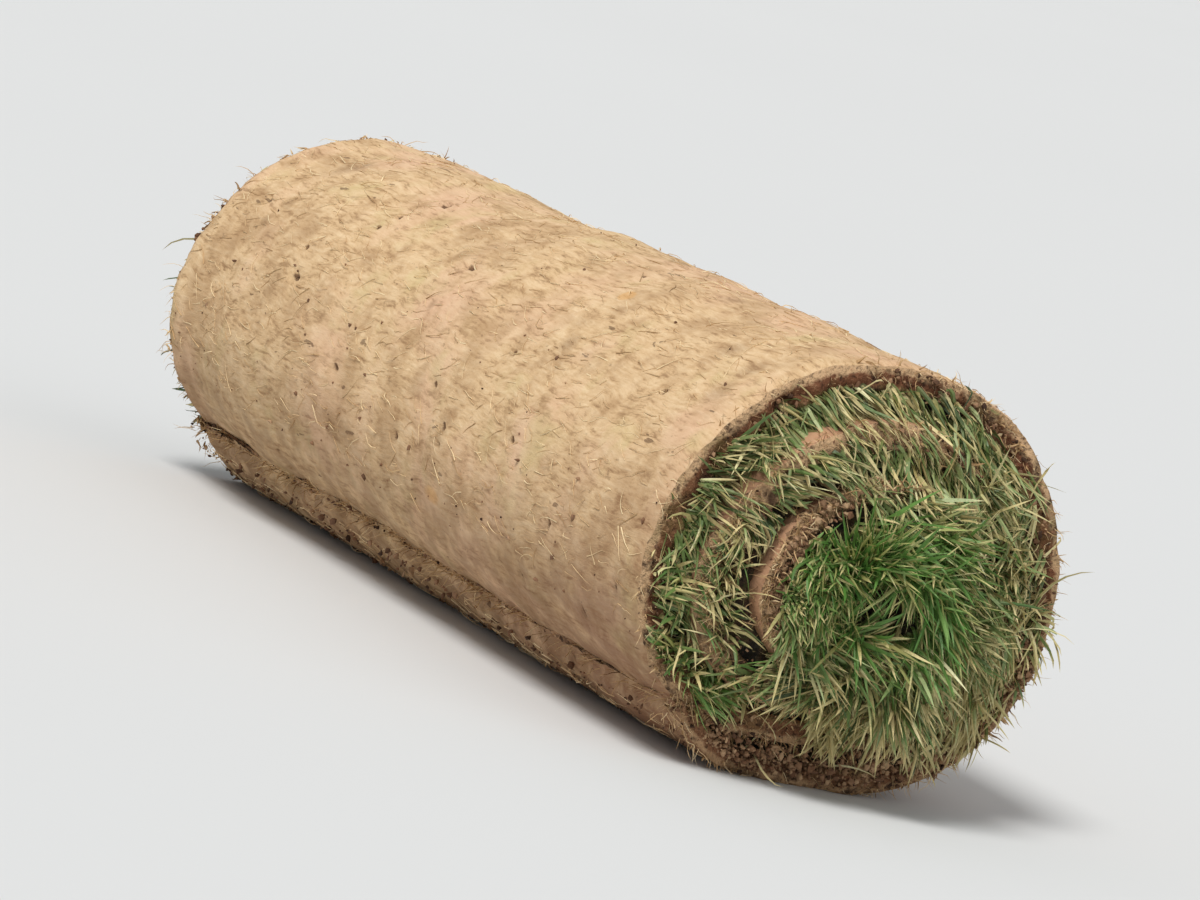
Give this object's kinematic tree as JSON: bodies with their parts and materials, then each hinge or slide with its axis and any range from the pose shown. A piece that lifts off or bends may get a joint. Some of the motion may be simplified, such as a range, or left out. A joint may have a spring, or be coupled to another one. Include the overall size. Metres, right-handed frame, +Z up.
{
  "type": "roll of turf",
  "caption": "Long mat of lawn turf rolled up grass side in, lying on its slumped underside, with the wound turns and grass showing on both ends.",
  "frame": {"origin": "on the floor under the middle of the roll's bounding box", "axes": "+X along the roll towards the end where the turns have slid out, +Y across it, +Z up"},
  "size_m": [0.6689, 0.216, 0.1999],
  "materials": {
    "turf": "dry, matte mat of roots and sandy soil, tan outside, with dark cut edges and green grass at the ends"
  },
  "bodies": {
    "root": {"turf_roll": "turf"}
  },
  "joints": []
}
